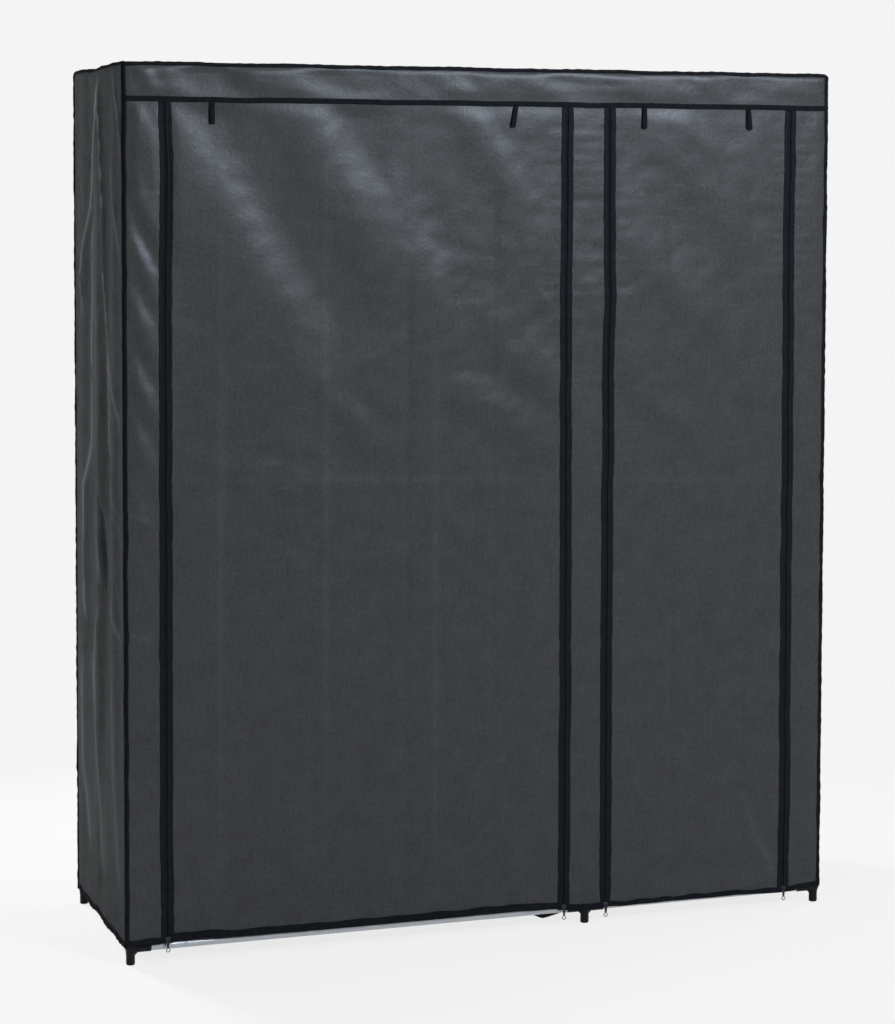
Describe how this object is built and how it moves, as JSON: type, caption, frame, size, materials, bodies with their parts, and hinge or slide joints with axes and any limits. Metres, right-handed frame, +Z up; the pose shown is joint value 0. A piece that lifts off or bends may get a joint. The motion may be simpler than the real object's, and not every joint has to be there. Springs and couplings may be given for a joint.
{
  "type": "portable fabric wardrobe",
  "caption": "Free-standing wardrobe of steel tubes and plastic connectors under a grey fabric cover, with a wide and a narrow zipped door that lift and fold up below the header.",
  "frame": {"origin": "on the floor, below the middle of the whole wardrobe's box", "axes": "+Z up, +X to the right seen from the front, the doors face -Y"},
  "size_m": [1.495, 0.502, 1.75],
  "materials": {
    "cover_fabric": "matte",
    "door_fabric": "matte",
    "shelf_fabric": "matte",
    "binding": "matte",
    "zip_tape": "matte",
    "zip_metal": "satin",
    "steel_tube": "satin",
    "connector_plastic": "matte"
  },
  "bodies": {
    "wardrobe": {"front_left_post": "steel_tube", "front_left_bottom_connector": "connector_plastic", "front_left_top_connector": "connector_plastic", "front_middle_post": "steel_tube", "front_middle_bottom_connector": "connector_plastic", "front_middle_top_connector": "connector_plastic", "front_right_post": "steel_tube", "front_right_bottom_connector": "connector_plastic", "front_right_top_connector": "connector_plastic", "back_left_post": "steel_tube", "back_left_bottom_connector": "connector_plastic", "back_left_top_connector": "connector_plastic", "back_middle_post": "steel_tube", "back_middle_bottom_connector": "connector_plastic", "back_middle_top_connector": "connector_plastic", "back_right_post": "steel_tube", "back_right_bottom_connector": "connector_plastic", "back_right_top_connector": "connector_plastic", "front_bottom_bar": "steel_tube", "back_bottom_bar": "steel_tube", "left_bottom_crossbar": "steel_tube", "middle_bottom_crossbar": "steel_tube", "right_bottom_crossbar": "steel_tube", "front_top_bar": "steel_tube", "back_top_bar": "steel_tube", "left_top_crossbar": "steel_tube", "middle_top_crossbar": "steel_tube", "right_top_crossbar": "steel_tube", "clothes_rail": "steel_tube", "shelf_1": "shelf_fabric", "shelf_2": "shelf_fabric", "shelf_3": "shelf_fabric", "shelf_4": "shelf_fabric", "cover_top": "cover_fabric", "cover_back": "cover_fabric", "cover_left": "cover_fabric", "cover_right": "cover_fabric", "cover_front": "cover_fabric"},
    "left_door_strip_1": {"left_door_strip_1": "door_fabric"},
    "left_door_strip_2": {"left_door_strip_2": "door_fabric"},
    "left_door_strip_3": {"left_door_strip_3": "door_fabric"},
    "left_door_strip_4": {"left_door_strip_4": "door_fabric"},
    "left_door_strip_5": {"left_door_strip_5": "door_fabric"},
    "left_door_strip_6": {"left_door_strip_6": "door_fabric"},
    "left_door_strip_7": {"left_door_strip_7": "door_fabric"},
    "right_door_strip_1": {"right_door_strip_1": "door_fabric"},
    "right_door_strip_2": {"right_door_strip_2": "door_fabric"},
    "right_door_strip_3": {"right_door_strip_3": "door_fabric"},
    "right_door_strip_4": {"right_door_strip_4": "door_fabric"},
    "right_door_strip_5": {"right_door_strip_5": "door_fabric"},
    "right_door_strip_6": {"right_door_strip_6": "door_fabric"},
    "right_door_strip_7": {"right_door_strip_7": "door_fabric"},
    "left_door_left_slider": {"left_door_left_slider": "zip_metal"},
    "left_door_left_pull": {"left_door_left_pull": "zip_metal"},
    "left_door_right_slider": {"left_door_right_slider": "zip_metal"},
    "left_door_right_pull": {"left_door_right_pull": "zip_metal"},
    "right_door_left_slider": {"right_door_left_slider": "zip_metal"},
    "right_door_left_pull": {"right_door_left_pull": "zip_metal"},
    "right_door_right_slider": {"right_door_right_slider": "zip_metal"},
    "right_door_right_pull": {"right_door_right_pull": "zip_metal"}
  },
  "joints": [
    {"name": "left_door_lift", "type": "hinge", "parent": "wardrobe", "child": "left_door_strip_1", "pos_m": [0, -0.24305, 1.678], "axis": [-1, 0, 0], "range_deg": [0, 85]},
    {"name": "left_door_fold_2", "type": "hinge", "parent": "left_door_strip_1", "child": "left_door_strip_2", "pos_m": [0, -0.2483, 1.43443], "axis": [-1, 0, 0], "range_deg": [0, 180]},
    {"name": "left_door_fold_3", "type": "hinge", "parent": "left_door_strip_2", "child": "left_door_strip_3", "pos_m": [0, -0.2363, 1.20086], "axis": [1, 0, 0], "range_deg": [0, 180]},
    {"name": "left_door_fold_4", "type": "hinge", "parent": "left_door_strip_3", "child": "left_door_strip_4", "pos_m": [0, -0.2483, 0.96729], "axis": [-1, 0, 0], "range_deg": [0, 180]},
    {"name": "left_door_fold_5", "type": "hinge", "parent": "left_door_strip_4", "child": "left_door_strip_5", "pos_m": [0, -0.2363, 0.73371], "axis": [1, 0, 0], "range_deg": [0, 180]},
    {"name": "left_door_fold_6", "type": "hinge", "parent": "left_door_strip_5", "child": "left_door_strip_6", "pos_m": [0, -0.2483, 0.50014], "axis": [-1, 0, 0], "range_deg": [0, 180]},
    {"name": "left_door_fold_7", "type": "hinge", "parent": "left_door_strip_6", "child": "left_door_strip_7", "pos_m": [0, -0.2363, 0.26657], "axis": [1, 0, 0], "range_deg": [0, 180]},
    {"name": "right_door_lift", "type": "hinge", "parent": "wardrobe", "child": "right_door_strip_1", "pos_m": [0, -0.24305, 1.678], "axis": [-1, 0, 0], "range_deg": [0, 85]},
    {"name": "right_door_fold_2", "type": "hinge", "parent": "right_door_strip_1", "child": "right_door_strip_2", "pos_m": [0, -0.2483, 1.43414], "axis": [-1, 0, 0], "range_deg": [0, 180]},
    {"name": "right_door_fold_3", "type": "hinge", "parent": "right_door_strip_2", "child": "right_door_strip_3", "pos_m": [0, -0.2363, 1.20029], "axis": [1, 0, 0], "range_deg": [0, 180]},
    {"name": "right_door_fold_4", "type": "hinge", "parent": "right_door_strip_3", "child": "right_door_strip_4", "pos_m": [0, -0.2483, 0.96643], "axis": [-1, 0, 0], "range_deg": [0, 180]},
    {"name": "right_door_fold_5", "type": "hinge", "parent": "right_door_strip_4", "child": "right_door_strip_5", "pos_m": [0, -0.2363, 0.73257], "axis": [1, 0, 0], "range_deg": [0, 180]},
    {"name": "right_door_fold_6", "type": "hinge", "parent": "right_door_strip_5", "child": "right_door_strip_6", "pos_m": [0, -0.2483, 0.49871], "axis": [-1, 0, 0], "range_deg": [0, 180]},
    {"name": "right_door_fold_7", "type": "hinge", "parent": "right_door_strip_6", "child": "right_door_strip_7", "pos_m": [0, -0.2363, 0.26486], "axis": [1, 0, 0], "range_deg": [0, 180]},
    {"name": "left_door_left_zip", "type": "slide", "parent": "wardrobe", "child": "left_door_left_slider", "axis": [0, 0, 1], "range_m": [0, 1.617]},
    {"name": "left_door_left_pull_swing", "type": "hinge", "parent": "left_door_left_slider", "child": "left_door_left_pull", "pos_m": [-0.665, -0.24795, 0.047], "axis": [-1, 0, 0], "range_deg": [0, 170]},
    {"name": "left_door_right_zip", "type": "slide", "parent": "wardrobe", "child": "left_door_right_slider", "axis": [0, 0, 1], "range_m": [0, 1.625]},
    {"name": "left_door_right_pull_swing", "type": "hinge", "parent": "left_door_right_slider", "child": "left_door_right_pull", "pos_m": [0.1625, -0.24795, 0.039], "axis": [-1, 0, 0], "range_deg": [0, 170]},
    {"name": "right_door_left_zip", "type": "slide", "parent": "wardrobe", "child": "right_door_left_slider", "axis": [0, 0, 1], "range_m": [0, 1.627]},
    {"name": "right_door_left_pull_swing", "type": "hinge", "parent": "right_door_left_slider", "child": "right_door_left_pull", "pos_m": [0.2545, -0.24795, 0.037], "axis": [-1, 0, 0], "range_deg": [0, 170]},
    {"name": "right_door_right_zip", "type": "slide", "parent": "wardrobe", "child": "right_door_right_slider", "axis": [0, 0, 1], "range_m": [0, 1.627]},
    {"name": "right_door_right_pull_swing", "type": "hinge", "parent": "right_door_right_slider", "child": "right_door_right_pull", "pos_m": [0.659, -0.24795, 0.037], "axis": [-1, 0, 0], "range_deg": [0, 170]}
  ],
  "couplings": [
    {"joint": "left_door_fold_3", "follows": "left_door_fold_2", "ratio": 1},
    {"joint": "left_door_fold_4", "follows": "left_door_fold_2", "ratio": 1},
    {"joint": "left_door_fold_5", "follows": "left_door_fold_2", "ratio": 1},
    {"joint": "left_door_fold_6", "follows": "left_door_fold_2", "ratio": 1},
    {"joint": "left_door_fold_7", "follows": "left_door_fold_2", "ratio": 1},
    {"joint": "right_door_fold_3", "follows": "right_door_fold_2", "ratio": 1},
    {"joint": "right_door_fold_4", "follows": "right_door_fold_2", "ratio": 1},
    {"joint": "right_door_fold_5", "follows": "right_door_fold_2", "ratio": 1},
    {"joint": "right_door_fold_6", "follows": "right_door_fold_2", "ratio": 1},
    {"joint": "right_door_fold_7", "follows": "right_door_fold_2", "ratio": 1}
  ]
}
